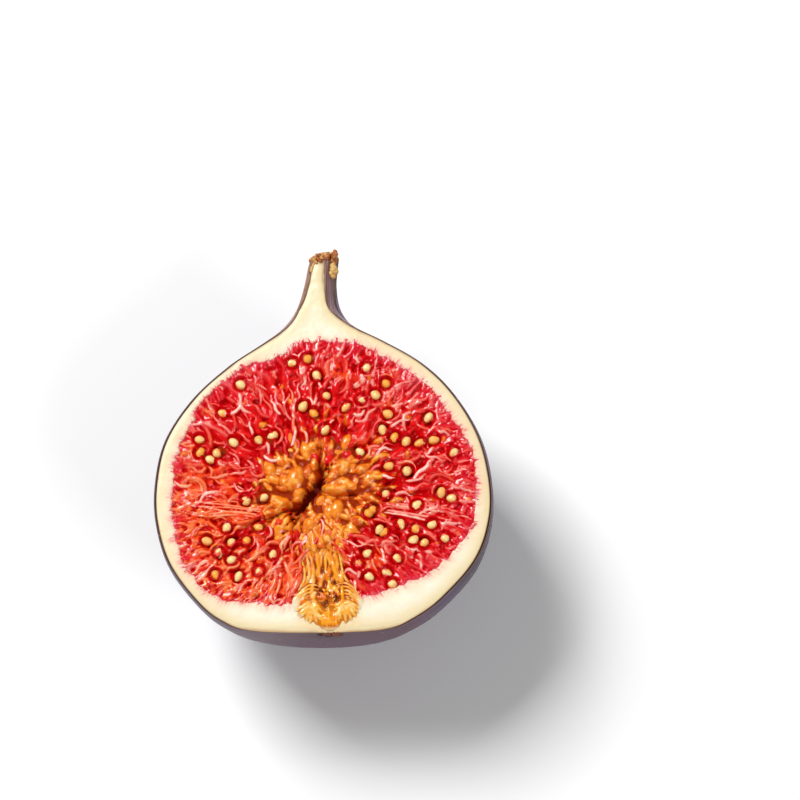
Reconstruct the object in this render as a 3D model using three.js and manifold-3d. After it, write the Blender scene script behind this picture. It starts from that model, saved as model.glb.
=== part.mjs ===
// A fresh fig cut in half from stem to eye, lying on its rounded back with the cut face up.
// Millimetres. The shapes are drawn on the cut plane: X to the right, Y towards the stem and Z out of the
// cut. The last section lifts them so that the origin is the middle of the flat spot the fruit lies on.
import * as THREE from 'three';
import { mergeVertices } from 'three/addons/utils/BufferGeometryUtils.js';
import Module from 'manifold-3d';

const wasm = await Module();
wasm.setup();

// ---- Driving dimensions -------------------------------------------------------------------------------

const faceHeight = 27.0; // from the surface it lies on to the cut face
const restCentre = new THREE.Vector2(-0.3, 0.9); // the flat spot's middle, seen from above
const backRoundness = 0.985; // depth of a cross-section over its width
const fitGap = 0.3; // between one tissue and the next
const far = 80; // larger than the fruit, for the tools that cut it

// The whole fruit, from the eye to the stem: place along Y, the middle's X, the radius, how far the
// middle lies under the cut, and how much the section slants to the right with depth.
const fruitStations = [
  [-21.36, 1.0, 0, 2.5, 0],
  [-20.75, -0.6, 10.6, 2.5, 0],
  [-19.01, -0.9, 15.2, 2.5, 0],
  [-15.84, -0.65, 19.2, 2.5, 0],
  [-10.02, -0.3, 23.8, 2.5, 0],
  [-3.47, -0.25, 25.8, 2.5, 0],
  [3.17, -0.35, 25.8, 2.5, 0],
  [9.5, -0.45, 24.3, 2.6, 0],
  [15.84, -0.3, 20.5, 3.0, 0],
  [20.85, 0.0, 15.6, 3.8, 0],
  [24.73, -0.3, 9.8, 3.6, 0.02],
  [27.39, -1.1, 5.6, 2.7, 0.1],
  [30.25, -1.75, 3.1, 2.0, 0.3],
  [34.13, -1.5, 2.15, 1.65, 0.35],
  [37.61, -1.1, 1.95, 1.7, 0.4],
  [39.35, -0.9, 1.75, 1.8, 0.4],
  [39.86, -0.9, 0, 1.8, 0.4],
];
const stationSteps = 48;
const sectionSides = 48;

// Shallow ribs run from the stem down the shoulders.
const ribCount = 13;
const ribHeight = 0.32;

// Where the red pulp meets the pale flesh on the cut face.
const pulpEdge = [
  [-0.2, 24.94], [7.9, 22.69], [15.2, 17.58], [20.4, 11.34], [23.0, 3.88], [22.4, -4.39],
  [17.4, -11.24], [9.5, -14.92], [1.0, -15.94], [-9.1, -16.56], [-16.0, -15.33], [-20.9, -10.63],
  [-23.3, -2.35], [-23.0, 4.6], [-20.5, 12.98], [-15.0, 19.01], [-7.5, 22.59],
];
const pulpDepth = 22.8;
const pulpSectors = 48;
const pulpBedLevel = -0.45; // the pulp between the florets lies a little under the cut
const pulpTop = 1.5; // and the seeds stand a little over it

// The florets all point to the hollow in the middle of the pulp, where they leave a slit open.
const hollowCentre = new THREE.Vector2(-1.3, 0.2);
const slitMiddle = new THREE.Vector2(-2.2, 0.7);
const slitHalfWidth = 1.3;
const slitHalfLength = 4.6;
const slitDepth = 5.0;
const slitTurn = -0.6;

// Cracks run out of the slit between the florets: start, heading, length and half width.
const cracks = [
  [-3.4, -1.2, -2.72, 9.4, 0.6],
  [-1.2, 0.6, -0.03, 6.8, 0.5],
  [-0.3, 3.6, 1.62, 6.2, 0.5],
];

// Plump amber florets stand at the lips of the slit: middle, length, half width and heading.
const plumpFlorets = [
  [-4.2, 3.2, 4.0, 1.9, 1.2], [1.6, 5.2, 3.6, 1.35, 0.3], [6.7, 3.5, 3.0, 1.15, 1.0],
  [1.6, -2.0, 2.8, 1.25, 1.4], [-1.0, -2.6, 2.6, 0.95, 1.7], [3.0, 2.8, 2.8, 1.1, 2.6],
  [6.1, -2.2, 2.6, 1.1, 0.5], [-7.0, -0.5, 4.6, 1.0, 2.9], [-2.2, 7.2, 3.0, 0.9, 1.4],
  [-6.4, 5.6, 2.6, 1.0, 2.1], [-4.6, 8.4, 2.4, 0.9, 1.9], [-7.9, 2.3, 2.6, 0.9, 3.0],
];

// The eye: a plug of small scales that closes the fruit's mouth, from the hollow down to the skin.
const eyeStations = [
  [-20.8, 1.2, 0, 0, 0],
  [-20.54, 1.2, 2.7, 0, 0],
  [-19.32, 1.15, 4.8, 0, 0],
  [-17.17, 1.05, 5.3, 0, 0],
  [-14.72, 0.6, 4.2, 0, 0],
  [-11.65, -0.1, 3.3, 0, 0],
  [-7.77, -0.4, 2.9, 0, 0],
  [-4.7, -0.5, 2.0, 0, 0],
  [-3.68, -0.5, 0, 0, 0],
];
const eyeSteps = 16;
const eyeSides = 28;
const scaleFan = new THREE.Vector2(1.0, -15.7); // the scales spread from here towards the mouth
const scaleCount = 9;
const scaleLength = 4.6;
const fibreCount = 8; // and as many fibres run up to the hollow
const fibreLength = 7.5;

const floretCount = 180;
const floretRadius = 1.05;
const floretLength = 6.4;
const seedCount = 66;
const seedRadius = 0.84;
const goldenAngle = Math.PI * (3 - Math.sqrt(5));

// ---- Numbers that look random and are the same at each build ----------------------------------------

class Dice {
  constructor(seed) {
    this.state = seed;
  }

  /** The next number from low to high. */
  between(low, high) {
    this.state = (this.state * 48271) % 2147483647;
    return low + ((high - low) * this.state) / 2147483647;
  }
}

// ---- Closed meshes and solids -----------------------------------------------------------------------

function solidOf(geometry) {
  const bare = geometry.clone();
  bare.deleteAttribute('normal');
  bare.deleteAttribute('uv');
  const merged = mergeVertices(bare, 1e-4);
  return new wasm.Manifold(new wasm.Mesh({
    numProp: 3,
    vertProperties: new Float32Array(merged.attributes.position.array),
    triVerts: new Uint32Array(merged.index.array),
  }));
}

function geometryOf(solid) {
  const mesh = solid.getMesh();
  const geometry = new THREE.BufferGeometry();
  const places = new Float32Array(mesh.numVert * 3);
  for (let v = 0; v < mesh.numVert; v += 1) {
    places.set(mesh.vertProperties.subarray(v * mesh.numProp, v * mesh.numProp + 3), v * 3);
  }
  geometry.setAttribute('position', new THREE.BufferAttribute(places, 3));
  geometry.setIndex(new THREE.BufferAttribute(new Uint32Array(mesh.triVerts), 1));
  geometry.computeVertexNormals();
  return geometry;
}

/** The largest connected piece of a solid: cutting can leave crumbs. */
function largestPiece(solid) {
  return solid.decompose().reduce((best, piece) => (piece.volume() > best.volume() ? piece : best));
}

/** A box as a solid, from its lowest to its highest Z, wide enough to cut the whole fruit. */
function slab(low, high) {
  const box = new THREE.BoxGeometry(2 * far, 2 * far, high - low);
  box.translate(0, 0, (low + high) / 2);
  return solidOf(box);
}

/** Closes rings into a solid, with a point at each end. Seen from the first ring, each turns clockwise. */
function skinOverRings(firstPoint, rings, lastPoint) {
  const sides = rings[0].length;
  const places = [firstPoint, ...rings.flat(), lastPoint].flatMap((p) => [p.x, p.y, p.z]);
  const faces = [];
  const at = (ring, side) => 1 + ring * sides + (side % sides);
  for (let side = 0; side < sides; side += 1) {
    faces.push(0, at(0, side + 1), at(0, side));
    for (let ring = 0; ring + 1 < rings.length; ring += 1) {
      faces.push(at(ring, side), at(ring + 1, side + 1), at(ring + 1, side));
      faces.push(at(ring, side), at(ring, side + 1), at(ring + 1, side + 1));
    }
    faces.push(at(rings.length - 1, side), at(rings.length - 1, side + 1), places.length / 3 - 1);
  }
  const geometry = new THREE.BufferGeometry();
  geometry.setAttribute('position', new THREE.Float32BufferAttribute(places, 3));
  geometry.setIndex(faces);
  return solidOf(geometry);
}

/**
 * A body along Y through stations of [y, middle x, radius, depth of the middle, slant]. relief(share along,
 * angle) is added to the radius; the angle is 0 on the right, a quarter turn at the back.
 */
function bodyAlong(stations, steps, sides, relief) {
  const sections = new THREE.CatmullRomCurve3(
    stations.map(([y, x, radius]) => new THREE.Vector3(x, y, radius)), false, 'catmullrom');
  const depths = new THREE.CatmullRomCurve3(
    stations.map(([, , , depth, slant]) => new THREE.Vector3(depth, slant, 0)), false, 'catmullrom');
  const ringAt = (share) => {
    const middle = sections.getPoint(share);
    const under = depths.getPoint(share);
    const ring = [];
    for (let side = 0; side < sides; side += 1) {
      const angle = (side / sides) * 2 * Math.PI;
      const radius = Math.max(middle.z + relief(share, angle), 0.05);
      const z = -under.x - radius * backRoundness * Math.sin(angle);
      ring.push(new THREE.Vector3(middle.x + radius * Math.cos(angle) - under.y * z, middle.y, z));
    }
    return ring;
  };
  const rings = [];
  for (let step = 1; step < steps; step += 1) {
    rings.push(ringAt(step / steps));
  }
  const tip = (share) => {
    const middle = sections.getPoint(share);
    const under = depths.getPoint(share);
    return new THREE.Vector3(middle.x + under.y * under.x, middle.y, -under.x);
  };
  return skinOverRings(tip(0), rings, tip(1));
}

// ---- The fruit's outside ----------------------------------------------------------------------------

/** Ribs are strongest on the shoulders and fade towards the cut, the belly and the eye. */
function ribRelief(share, angle) {
  const alongShoulder = Math.exp(-(((share - 0.66) / 0.2) ** 2));
  const onBack = THREE.MathUtils.smoothstep(Math.sin(angle), 0, 0.4);
  return ribHeight * alongShoulder * onBack * Math.cos(ribCount * angle + 1.3 * Math.sin(2 * angle));
}

const cutAway = slab(0, far);
const surfaceItLiesOn = slab(-far, -faceHeight);
const halfFruit = bodyAlong(fruitStations, stationSteps, sectionSides, ribRelief)
  .subtract(cutAway)
  .subtract(surfaceItLiesOn);

// ---- The pocket that the pulp fills -----------------------------------------------------------------

const pulpEdgeCurve = new THREE.CatmullRomCurve3(
  pulpEdge.map(([x, y]) => new THREE.Vector3(x, y, 0)), true, 'catmullrom');

/** The pulp's edge on the cut face, at a share of the way round, moved out by the given distance. */
function edgeOfPulp(share, outward) {
  const point = pulpEdgeCurve.getPoint(share % 1);
  const fromHollow = new THREE.Vector2(point.x, point.y).sub(hollowCentre);
  return fromHollow.setLength(fromHollow.length() + outward).add(hollowCentre);
}

/** A bowl under the cut face, with a flat top at the given level; its rings shrink towards the bottom. */
function pulpBowl(outward, topLevel) {
  const bowlRings = 7;
  const rings = [];
  const ringOf = (size, z) => {
    const ring = [];
    for (let sector = 0; sector < pulpSectors; sector += 1) {
      const edge = edgeOfPulp(sector / pulpSectors, outward).sub(hollowCentre).multiplyScalar(size);
      ring.push(new THREE.Vector3(edge.x + hollowCentre.x, edge.y + hollowCentre.y, z));
    }
    return ring;
  };
  rings.push(ringOf(1, topLevel));
  for (let k = 1; k < bowlRings; k += 1) {
    const turn = (k / bowlRings) * (Math.PI / 2);
    rings.push(ringOf(Math.cos(turn), -(pulpDepth + outward) * Math.sin(turn)));
  }
  const middle = (z) => new THREE.Vector3(hollowCentre.x, hollowCentre.y, z);
  return skinOverRings(middle(topLevel), rings, middle(-pulpDepth - outward));
}

// ---- Spindles: the shape of a floret, a scale and a fibre -------------------------------------------

/** A bent spindle that lies on the cut with its middle at a level, thicker towards its tip than its root. */
function spindle(root, heading, length, radius, bend, level) {
  const shape = new THREE.SphereGeometry(1, 4, 4);
  shape.rotateZ(-Math.PI / 2);
  const places = shape.attributes.position;
  for (let v = 0; v < places.count; v += 1) {
    const along = (places.getX(v) + 1) / 2;
    const swell = radius * (0.7 + 0.5 * along);
    const aside = bend * Math.sin(Math.PI * along);
    places.setXYZ(v, along * length, places.getY(v) * swell + aside, places.getZ(v) * swell);
  }
  shape.rotateZ(heading);
  shape.translate(root.x, root.y, level);
  return solidOf(shape);
}

// ---- The eye ----------------------------------------------------------------------------------------

function eyeSpace(outward) {
  const grown = eyeStations.map(([y, x, radius, depth, slant], k) => {
    const end = k === 0 ? -outward : (k === eyeStations.length - 1 ? outward : 0);
    return [y + end, x, radius > 0 ? radius + outward : 0, depth, slant];
  });
  return bodyAlong(grown, eyeSteps, eyeSides, () => 0);
}

/** Scales fan out over the mouth, and fibres run side by side up the plug's neck. */
function scalesAndFibres() {
  const ridges = [];
  for (let k = 0; k < scaleCount; k += 1) {
    const side = (2 * k) / (scaleCount - 1) - 1; // -1 on the left, 1 on the right
    const heading = -Math.PI / 2 + side * 1.75;
    const length = scaleLength * (1 - 0.12 * Math.abs(side));
    ridges.push(spindle(scaleFan, heading, length, 0.62, 0.5 * side, 0));
  }
  for (let k = 0; k < fibreCount; k += 1) {
    const side = (2 * k) / (fibreCount - 1) - 1;
    const root = new THREE.Vector2(0.7 + 2.9 * side, -13.9 + 0.8 * (k % 2));
    ridges.push(spindle(root, Math.PI / 2 + 0.06 + 0.16 * side, fibreLength, 0.5, 0.4 * side, 0));
  }
  return ridges;
}

const eyePocket = eyeSpace(fitGap);
const eye = wasm.Manifold.union([eyeSpace(0).subtract(cutAway), ...scalesAndFibres()])
  .intersect(wasm.Manifold.union([eyeSpace(0), eyeSpace(0).translate([0, 0, 1])]));

// ---- Florets and seeds ------------------------------------------------------------------------------

/** Spreads count places evenly over the pulp by the golden angle, from one share of its size to another. */
function placesInPulp(count, fromSize, toSize, dice, wander) {
  const places = [];
  for (let k = 0; k < count; k += 1) {
    const angle = k * goldenAngle + dice.between(-wander, wander);
    const even = (k + 0.5) / count;
    const size = Math.sqrt(fromSize ** 2 + (toSize ** 2 - fromSize ** 2) * even);
    places.push({ angle, size: size + 0.1 * dice.between(-wander, wander) });
  }
  return places;
}

/** The point of the cut face in the direction of an angle from the hollow, at a share of the pulp's size. */
function pointInPulp(angle, size) {
  const turned = (angle / (2 * Math.PI)) % 1;
  return edgeOfPulp(1.25 - turned, 0).sub(hollowCentre).multiplyScalar(size).add(hollowCentre);
}

function florets() {
  const dice = new Dice(4711);
  return placesInPulp(floretCount, 0.3, 1.05, dice, 0.2).map(({ angle, size }) => {
    const root = pointInPulp(angle, size);
    const inward = Math.atan2(hollowCentre.y - root.y, hollowCentre.x - root.x);
    const heading = inward + dice.between(-0.4, 0.4);
    const length = floretLength * dice.between(0.75, 1.15) * (0.5 + 0.5 * size);
    const radius = floretRadius * dice.between(0.85, 1.1);
    return spindle(root, heading, length, radius, dice.between(-0.9, 0.9), pulpBedLevel);
  });
}

function seeds() {
  const dice = new Dice(90210);
  return placesInPulp(seedCount, 0.3, 0.88, dice, 0.3).map(({ angle, size }) => {
    const place = pointInPulp(angle, size);
    const shape = new THREE.IcosahedronGeometry(seedRadius, 0);
    shape.scale(1.15, 0.92, 0.9);
    shape.rotateZ(dice.between(0, Math.PI));
    shape.translate(place.x, place.y, pulpBedLevel + floretRadius);
    return solidOf(shape);
  });
}

function plump() {
  return plumpFlorets.map(([x, y, length, halfWidth, heading]) => {
    const way = new THREE.Vector2(Math.cos(heading), Math.sin(heading));
    const root = new THREE.Vector2(x, y).addScaledVector(way, -length / 2);
    return spindle(root, heading, length, halfWidth, 0, pulpBedLevel + 0.1);
  });
}

/** The open slit between the florets' tips, and the cracks that run out of it. */
function hollow() {
  const shape = new THREE.SphereGeometry(1, 12, 8);
  shape.scale(slitHalfWidth, slitHalfLength, slitDepth);
  shape.rotateZ(slitTurn);
  shape.translate(slitMiddle.x, slitMiddle.y, 0);
  const splits = cracks.map(([x, y, heading, length, halfWidth]) =>
    spindle(new THREE.Vector2(x, y), heading, length, halfWidth, 0.5, 0).scale([1, 1, 4]));
  return wasm.Manifold.union([solidOf(shape), ...splits]);
}

// ---- The three tissues --------------------------------------------------------------------------------

const pulpSpace = pulpBowl(0, pulpTop);
const pulp = largestPiece(
  wasm.Manifold.union([pulpBowl(0, pulpBedLevel), ...florets(), ...plump(), ...seeds()])
    .intersect(pulpSpace)
    .subtract(hollow())
    .subtract(eyePocket));

const rind = largestPiece(halfFruit.subtract(pulpBowl(fitGap, pulpTop)).subtract(eyePocket));

// ---- The object ---------------------------------------------------------------------------------------

function tissue(name, solid, color, roughness) {
  const material = new THREE.MeshStandardMaterial({ color, roughness, metalness: 0 });
  const mesh = new THREE.Mesh(geometryOf(solid), material);
  mesh.name = name;
  mesh.position.set(-restCentre.x, -restCentre.y, faceHeight);
  return mesh;
}

const fig = new THREE.Group();
fig.name = 'fresh_fig_half';
fig.add(
  tissue('rind', rind, 0x4a3648, 0.45),
  tissue('pulp', pulp, 0xb3141c, 0.25),
  tissue('eye', largestPiece(eye), 0xd99a2b, 0.4),
);

export default fig;
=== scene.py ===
"""A fresh fig cut in half from stem to eye, lying on its rounded back with the cut face up."""
import math

import bmesh
import bpy
from mathutils import Matrix, Vector, kdtree, noise


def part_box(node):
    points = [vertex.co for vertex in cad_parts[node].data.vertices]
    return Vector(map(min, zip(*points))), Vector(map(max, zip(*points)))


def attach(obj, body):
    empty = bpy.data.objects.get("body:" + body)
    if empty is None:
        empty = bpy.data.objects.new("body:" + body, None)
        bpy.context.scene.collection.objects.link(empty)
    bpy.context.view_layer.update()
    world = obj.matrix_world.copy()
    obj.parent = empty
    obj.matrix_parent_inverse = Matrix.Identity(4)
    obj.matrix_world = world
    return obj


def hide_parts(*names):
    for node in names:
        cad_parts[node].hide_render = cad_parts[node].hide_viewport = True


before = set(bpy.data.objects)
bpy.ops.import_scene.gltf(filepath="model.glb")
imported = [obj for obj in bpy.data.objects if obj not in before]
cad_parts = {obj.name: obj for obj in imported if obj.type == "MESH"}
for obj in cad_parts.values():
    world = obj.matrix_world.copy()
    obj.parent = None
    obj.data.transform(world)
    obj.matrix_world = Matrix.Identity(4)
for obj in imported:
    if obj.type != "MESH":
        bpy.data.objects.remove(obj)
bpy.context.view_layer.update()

# ---- Skin ----
# One thin dark coat over the whole fruit, neck and stalk. It was cut through with the fruit, so its edge
# shows as a dark line round the cut face. Shallow ribs and fine furrows run down it from the stalk, and
# a pale waxy bloom lies on it.

# Places are drawn in millimetres on the cut: X to the right, Y from the eye to the stem, Z out of it. The
# cut lies level, high above the flat spot on the back that the half fruit rests on.
MM = 0.001
FACE_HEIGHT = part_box("rind")[1].z / MM
REST_SPOT = Vector((-0.3, 0.9))
BACK_ROUNDNESS = 0.985
SKIN_THICKNESS = 0.42
OUTER_SHARE = 0.62  # of the way round the coat's section: the rest is its inner side
RIB_COUNT = 13
RIB_HEIGHT = 0.32
PORE_CELL = 2.1  # small pale pores are strewn over the skin, about one to a cell of this width
SKIN_SIDES = 300
SKIN_RINGS = 230

# Sections from the eye to the stem: place along Y, the middle's X, the radius, how far the middle lies
# under the cut, and how much the section slants to the right with depth.
FRUIT = [
    (-21.36, 1.0, 0.0, 2.5, 0.0),
    (-20.75, -0.6, 10.6, 2.5, 0.0),
    (-19.01, -0.9, 15.2, 2.5, 0.0),
    (-15.84, -0.65, 19.2, 2.5, 0.0),
    (-10.02, -0.3, 23.8, 2.5, 0.0),
    (-3.47, -0.25, 25.8, 2.5, 0.0),
    (3.17, -0.35, 25.8, 2.5, 0.0),
    (9.5, -0.45, 24.3, 2.6, 0.0),
    (15.84, -0.3, 20.5, 3.0, 0.0),
    (20.85, 0.0, 15.6, 3.8, 0.0),
    (24.73, -0.3, 9.8, 3.6, 0.02),
    (27.39, -1.1, 5.6, 2.7, 0.1),
    (30.25, -1.75, 3.1, 2.0, 0.3),
    (34.13, -1.5, 2.15, 1.65, 0.35),
    (37.61, -1.1, 1.95, 1.7, 0.4),
    (38.95, -0.75, 1.65, 1.8, 0.4),
    (39.8, -0.35, 0.0, 1.8, 0.4),
]


def along_curve(points, share, closed=False):
    """The point at a share of the way along the smooth curve through the points."""
    count = len(points)
    place = min(share, 1 - 1e-9) * (count if closed else count - 1)
    first = int(place)
    w = place - first

    def point(k):
        if closed:
            return points[k % count]
        if k < 0:
            return [2 * a - b for a, b in zip(points[0], points[1])]
        if k >= count:
            return [2 * a - b for a, b in zip(points[-1], points[-2])]
        return points[k]

    four = (point(first + k) for k in (-1, 0, 1, 2))
    return [
        b + 0.5 * w * (c - a + w * (2 * a - 5 * b + 4 * c - d + w * (3 * (b - c) + d - a)))
        for a, b, c, d in zip(*four)
    ]


def smooth(low, high, value):
    """0 below low, 1 above high, and an even S between them. High may be under low."""
    t = min(max((value - low) / (high - low), 0.0), 1.0)
    return t * t * (3 - 2 * t)


def smooth_noise(x, y, z=0.0):
    """Even noise from -1 to 1 whose lumps are one unit across."""
    return noise.noise(Vector((x, y, z)))


def in_place(x, y, z):
    """A point of the cut's millimetres, in metres where the fruit lies."""
    return Vector((x - REST_SPOT.x, y - REST_SPOT.y, max(z, -FACE_HEIGHT) + FACE_HEIGHT)) * MM


def closed_ball(sides, rings):
    """A grid wrapped into a unit ball, with its seam and poles closed."""
    bm = bmesh.new()
    bmesh.ops.create_grid(bm, x_segments=sides, y_segments=rings, size=1)
    for vert in bm.verts:
        turn, rise = vert.co.x * math.pi, vert.co.y * math.pi / 2
        vert.co = (math.cos(rise) * math.cos(turn), math.cos(rise) * math.sin(turn), math.sin(rise))
    bmesh.ops.remove_doubles(bm, verts=bm.verts, dist=1e-5)
    return bm


def ring_and_turn(point):
    """For a point of a unit ball: its share of the way from pole to pole, and of the way round."""
    ring = 1 - math.acos(min(max(point.z, -1.0), 1.0)) / math.pi
    turn = math.atan2(point.y, point.x) / math.tau % 1.0
    return round(ring, 4), round(turn, 5) % 1.0


def skin_relief(ring, angle, y):
    """How far the skin stands out of its smooth form: ribs, then furrows, then soft dents."""
    shoulder = math.exp(-(((ring - 0.66) / 0.2) ** 2))
    on_back = smooth(0.0, 0.4, math.sin(angle))
    ribs = RIB_HEIGHT * shoulder * on_back * math.cos(RIB_COUNT * angle + 1.3 * math.sin(2 * angle))
    across, down = 9 * math.cos(angle), 9 * math.sin(angle)
    furrows = (0.05 + 0.13 * smooth(0.45, 0.8, ring)) * smooth_noise(across, down, 0.05 * y)
    fine_furrows = 0.05 * smooth(0.3, 0.75, ring) * smooth_noise(3 * across, 3 * down, 0.08 * y)
    dents = 0.16 * smooth_noise(0.35 * across, 0.35 * down, 0.11 * y)
    return ribs + furrows + fine_furrows + dents * smooth(0.0, 0.12, ring) * smooth(0.98, 0.8, ring)


sections = {}


def section(ring):
    """The fruit's cross-section at a share of the way from eye to stem, and the angle where it is cut."""
    if ring not in sections:
        y, x, radius, depth, slant = along_curve(FRUIT, ring)
        radius = max(radius, 0.03)
        cut_angle = -math.asin(min(depth / (radius * BACK_ROUNDNESS), 1.0))
        sections[ring] = y, x, radius, depth, slant, cut_angle
    return sections[ring]


def on_fruit(ring, round_back, under=0.0):
    """A point at a share of the way round the back from the cut's right edge to its left."""
    y, x, radius, depth, slant, cut_angle = section(ring)
    angle = cut_angle + (math.pi - 2 * cut_angle) * round_back
    radius = max(radius + skin_relief(ring, angle, y) * smooth(0.0, 2.0, radius) - under, 0.02)
    z = -depth - radius * BACK_ROUNDNESS * math.sin(angle)
    return x + radius * math.cos(angle) - slant * z, y, z


bm = closed_ball(SKIN_SIDES, SKIN_RINGS)
for vert in bm.verts:
    ring, turn = ring_and_turn(vert.co)
    if turn <= OUTER_SHARE:
        x, y, z = on_fruit(ring, turn / OUTER_SHARE)
    else:
        x, y, z = on_fruit(ring, (1 - turn) / (1 - OUTER_SHARE), under=SKIN_THICKNESS)
    vert.co = in_place(x, y, min(z, -0.02))


def paint(code):
    """A colour given as six hexadecimal digits, as the linear light that shaders work in."""
    parts = [int(code[k : k + 2], 16) / 255 for k in (0, 2, 4)]
    return [p / 12.92 if p <= 0.04045 else ((p + 0.055) / 1.055) ** 2.4 for p in parts] + [1.0]


class Wire:
    """One socket of a finish. It carries what changes over the surface, and arithmetic adds the nodes."""

    def __init__(self, finish, socket):
        self.finish = finish
        self.socket = socket

    def maths(self, operation, *values):
        return self.finish.node("ShaderNodeMath", {"operation": operation}, dict(enumerate(values)))

    def __add__(self, other):
        return self.maths("ADD", self, other)

    __radd__ = __add__

    def __sub__(self, other):
        return self.maths("SUBTRACT", self, other)

    def __rsub__(self, other):
        return self.maths("SUBTRACT", other, self)

    def __mul__(self, other):
        return self.maths("MULTIPLY", self, other)

    __rmul__ = __mul__

    def __truediv__(self, other):
        return self.maths("DIVIDE", self, other)

    def __pow__(self, other):
        return self.maths("POWER", self, other)

    def step(self, low, high):
        """0 where the value is at low, 1 at high, in an even S. High may be under low."""
        settings = {"interpolation_type": "SMOOTHSTEP"}
        sockets = {"Value": self, 1: min(low, high), 2: max(low, high)}
        rise = self.finish.node("ShaderNodeMapRange", settings, sockets)
        return rise if low < high else 1 - rise


class Finish:
    """A material on one Principled shader. node() adds any node and returns the Wire of an output."""

    colour = None

    def __init__(self, name, **constants):
        self.material = bpy.data.materials.new(name)
        self.material.use_nodes = True
        self.tree = self.material.node_tree
        self.tree.nodes.clear()
        self.shader = self.tree.nodes.new("ShaderNodeBsdfPrincipled")
        output = self.tree.nodes.new("ShaderNodeOutputMaterial")
        self.tree.links.new(self.shader.outputs[0], output.inputs[0])
        for socket, value in constants.items():
            self.shader.inputs[socket.replace("_", " ")].default_value = value

    def node(self, kind, settings, sockets, output=0):
        made = self.tree.nodes.new(kind)
        for setting, value in settings.items():
            setattr(made, setting, value)
        for socket, value in sockets.items():
            if isinstance(value, Wire):
                self.tree.links.new(value.socket, made.inputs[socket])
            else:
                made.inputs[socket].default_value = value
        return Wire(self, made.outputs[output])

    def feed(self, socket, wire):
        self.tree.links.new(wire.socket, self.shader.inputs[socket])

    def place(self):
        """Where the point lies on the fruit, in metres."""
        return self.node("ShaderNodeTexCoord", {}, {}, "Object")

    def attribute(self, name):
        return self.node("ShaderNodeAttribute", {"attribute_name": name}, {}, "Fac")

    def on_cut(self):
        """The place's three parts in the cut's own millimetres."""
        parts = self.node("ShaderNodeSeparateXYZ", {}, {0: self.place()})
        x, y, z = (Wire(self, socket) / MM for socket in parts.socket.node.outputs)
        return x + REST_SPOT.x, y + REST_SPOT.y, z - FACE_HEIGHT

    def turn(self, rise, run):
        """The angle of a slope, in radians."""
        return self.node("ShaderNodeMath", {"operation": "ARCTAN2"}, {0: rise, 1: run})

    def vector(self, x, y, z):
        return self.node("ShaderNodeCombineXYZ", {}, {0: x, 1: y, 2: z})

    def cloud(self, size, vector=None, detail=3.0, roughness=0.55):
        """Soft noise from 0 to 1 whose lumps are size millimetres, or size units of another vector."""
        scale = 1 / (size * MM) if vector is None else 1 / size
        sockets = {"Scale": scale, "Detail": detail, "Roughness": roughness}
        return self.node("ShaderNodeTexNoise", {}, {"Vector": vector or self.place(), **sockets})

    def mix(self, share, *colours):
        """From the first colour to the second. A Mix node's sockets 0, 6 and 7 are those of colours."""
        first, second = (paint(colour) if isinstance(colour, str) else colour for colour in colours)
        return self.node("ShaderNodeMix", {"data_type": "RGBA"}, {0: share, 6: first, 7: second}, 2)

    def coat(self, share, over):
        """Lays a colour over the finish's own where share is 1."""
        self.colour = self.mix(share, self.colour, over)

    def wear(self, roughness, *reliefs):
        """Feeds the shader the colour, a roughness, and reliefs: pairs of a height and its depth in mm."""
        self.feed("Base Color", self.colour)
        self.feed("Roughness", roughness)
        normal = None
        for height, depth in reliefs:
            sockets = {"Height": height, "Distance": depth * MM, "Strength": 1.0}
            if normal:
                sockets["Normal"] = normal
            normal = self.node("ShaderNodeBump", {}, sockets)
        self.feed("Normal", normal)


def in_scene(name, data):
    """A new object in the scene: a mesh, a light or a camera."""
    placed = bpy.data.objects.new(name, data)
    bpy.context.scene.collection.objects.link(placed)
    return placed


def coated(name, bm, finish):
    """Turns a bmesh into an object in the scene, in its finish."""
    mesh = bpy.data.meshes.new(name)
    bm.to_mesh(mesh)
    bm.free()
    mesh.materials.append(finish.material)
    return in_scene(name, mesh)


def finished_piece(name, bm, finish, slot, *nodes):
    """Turns a closed mesh into a smooth piece that rides with the fruit and stands for CAD nodes."""
    bmesh.ops.recalc_face_normals(bm, faces=bm.faces)
    for face in bm.faces:
        face.smooth = True
    piece = coated(name, bm, finish)
    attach(piece, "root")
    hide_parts(*nodes)
    return piece


skin = Finish(
    "fig_skin",
    IOR=1.45,
    Sheen_Weight=0.18,
    Sheen_Roughness=0.45,
    Sheen_Tint=paint("b9b2cc"),
)
x, y, z = skin.on_cut()
round_the_fruit = skin.turn(x, -2.5 - z)
lengthways = skin.vector(round_the_fruit * 24, y * 0.11, 0.0)
streaks = skin.cloud(2.2, lengthways, detail=4.0)
fine_streaks = skin.cloud(0.7, lengthways, detail=3.0)
broad_bands = skin.cloud(6.5, lengthways, detail=2.0)
patches = skin.cloud(11.0, detail=4.0, roughness=0.6)
bloom = (patches * 0.55 + broad_bands * 0.45).step(0.36, 0.66) * streaks.step(0.28, 0.6)
to_neck = y.step(12.0, 27.0)
to_stalk = y.step(28.0, 36.0)
to_eye = y.step(-15.0, -20.6)
skin.colour = skin.mix(patches.step(0.3, 0.7), "2b1626", "43283d")
skin.coat(streaks.step(0.42, 0.72) * 0.6, "5a3446")
skin.coat(bloom * 0.62, "7d7590")
flushed = skin.cloud(8.0, detail=3.0).step(0.54, 0.72) * streaks.step(0.35, 0.6)
skin.coat(flushed * 0.5, "5c2434")
skin.coat(to_neck * broad_bands.step(0.3, 0.7) * 0.55, "6e3548")
skin.coat(to_neck * streaks.step(0.55, 0.35) * 0.5, "2a1422")
# The neck's mauve has lighter and darker streaks. Further down from the cut it has a darker band, and below
# that a lavender band that is a painted highlight.
mauve_and_highlight = skin.mix(streaks.step(0.42, 0.6), "6a4450", "c09aa2")
mauve_and_highlight = skin.mix((z + streaks).step(-0.7, -1.2), mauve_and_highlight, "4a2832")
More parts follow.
